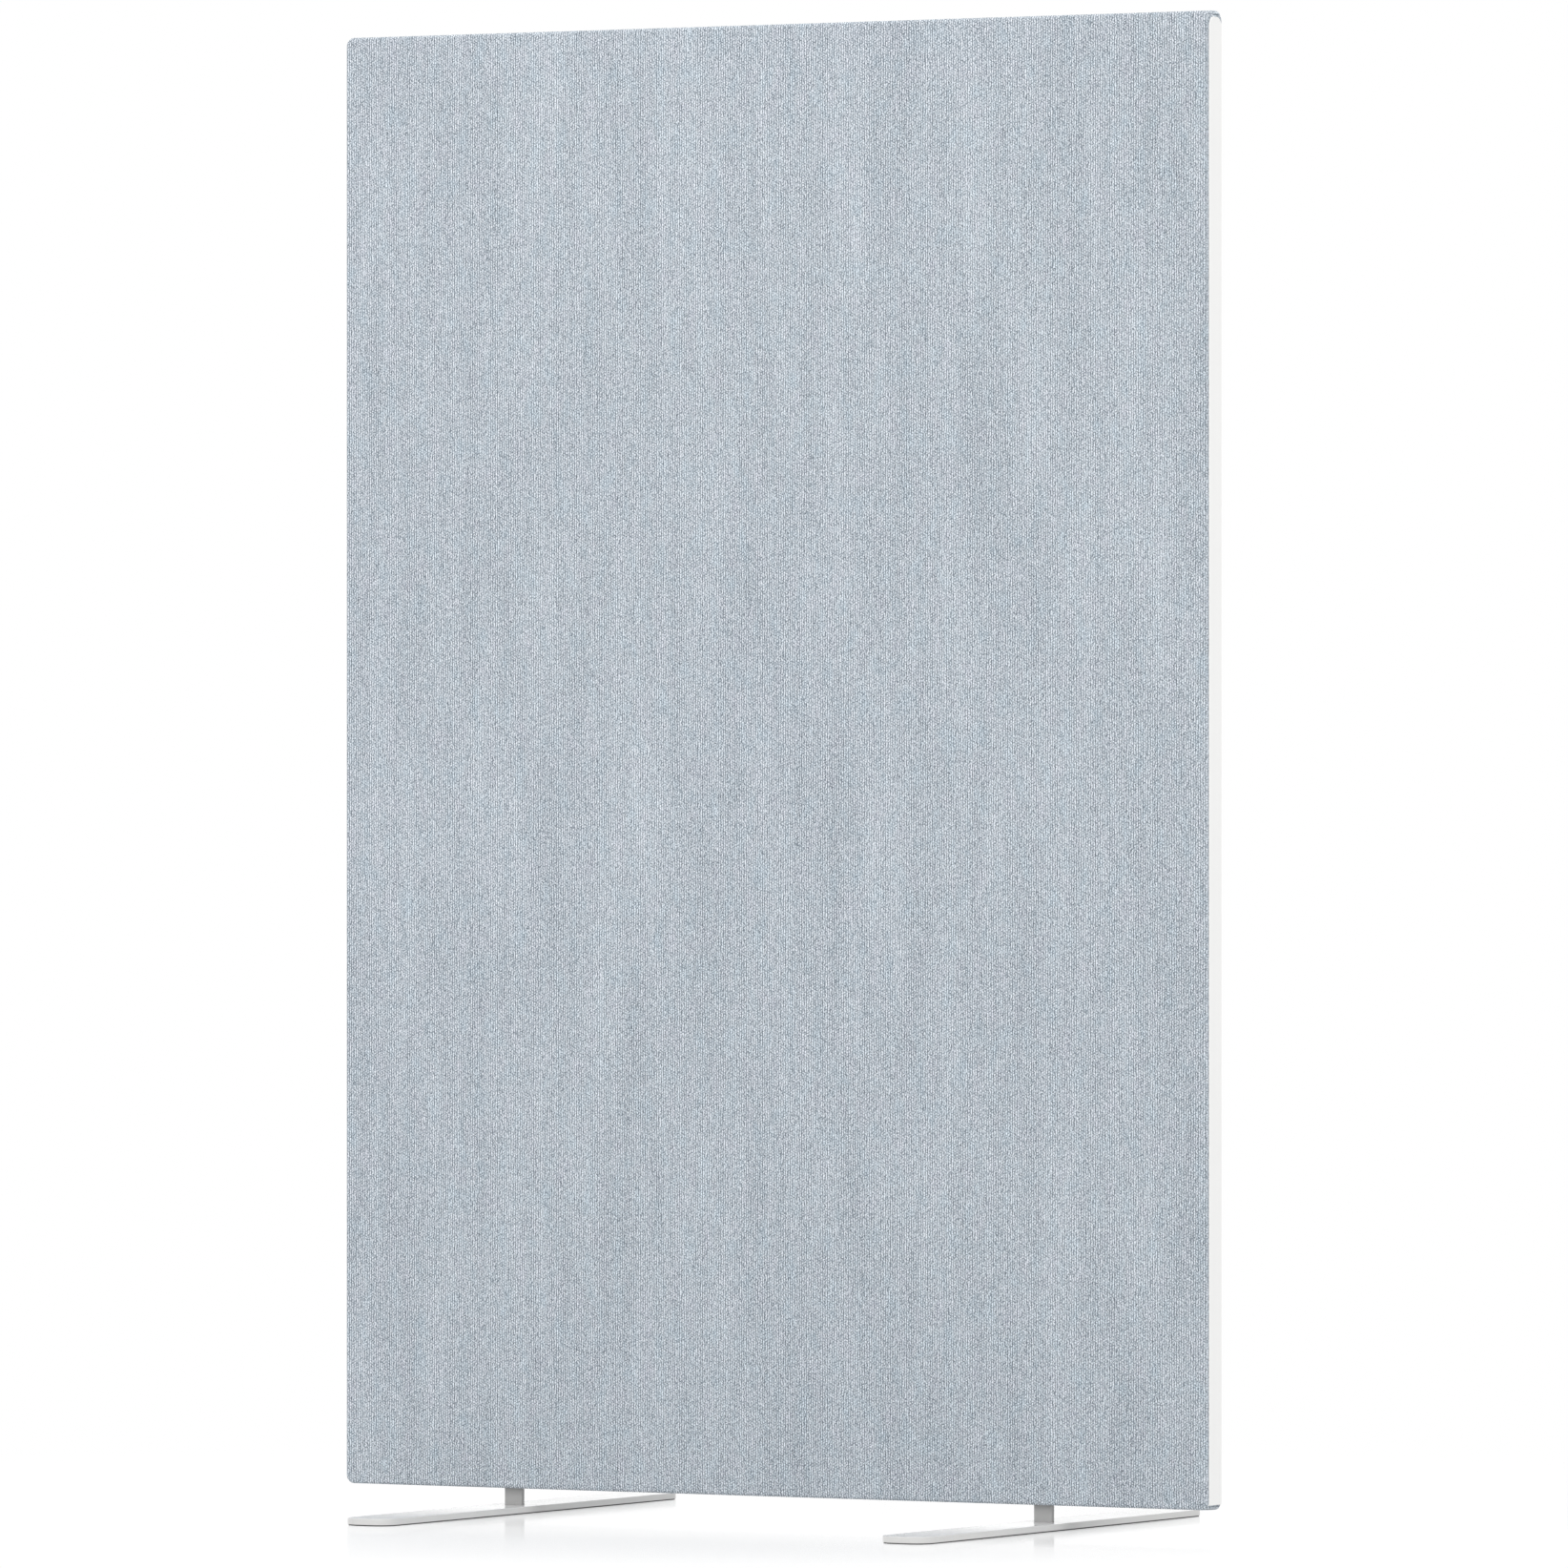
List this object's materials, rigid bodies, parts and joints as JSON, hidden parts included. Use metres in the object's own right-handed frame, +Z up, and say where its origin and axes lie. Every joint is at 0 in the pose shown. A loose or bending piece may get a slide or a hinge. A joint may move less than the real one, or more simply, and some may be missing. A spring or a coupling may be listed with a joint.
{
  "type": "office floor screen",
  "caption": "Free-standing cloth-covered absorbent screen with white edge strips, plugged onto two flat steel feet that lie across it.",
  "frame": {"origin": "on the floor, under the middle of the panel, between the two feet", "axes": "+Z up, X along the panel, -Y the front face, feet lying along Y"},
  "size_m": [1, 0.58, 1.5],
  "materials": {
    "cover_cloth": "ribbed knit, blue grey",
    "wadding": "soft nonwoven",
    "absorber": "fibre batt",
    "frame_timber": "planed pine",
    "dowel_beech": "turned beech",
    "white_strip": "satin white",
    "socket_steel": "zinc plated",
    "screw_steel": "zinc plated",
    "white_powder_coat": "fine white powder coat",
    "grey_powder_coat": "fine grey powder coat",
    "underlay_rubber": "matt"
  },
  "bodies": {
    "panel": {"cloth_cover": "cover_cloth", "wadding_front": "wadding", "wadding_back": "wadding", "absorber_lower": "absorber", "absorber_upper": "absorber", "stile_left": "frame_timber", "stile_right": "frame_timber", "top_rail": "frame_timber", "middle_rail": "frame_timber", "bottom_rail": "frame_timber", "frame_dowels": "dowel_beech", "edge_strip_left": "white_strip", "edge_strip_right": "white_strip", "foot_socket_left": "socket_steel", "foot_socket_right": "socket_steel", "socket_screws_left": "screw_steel", "socket_screws_right": "screw_steel"},
    "foot_left": {"foot_plate_left": "white_powder_coat", "foot_tongue_left": "grey_powder_coat", "foot_underlay_left": "underlay_rubber"},
    "foot_right": {"foot_plate_right": "white_powder_coat", "foot_tongue_right": "grey_powder_coat", "foot_underlay_right": "underlay_rubber"}
  },
  "joints": [
    {"name": "foot_left_plug", "type": "slide", "parent": "panel", "child": "foot_left", "axis": [0, 0, -1], "range_m": [0, 0.1]},
    {"name": "foot_right_plug", "type": "slide", "parent": "panel", "child": "foot_right", "axis": [0, 0, -1], "range_m": [0, 0.1]}
  ]
}
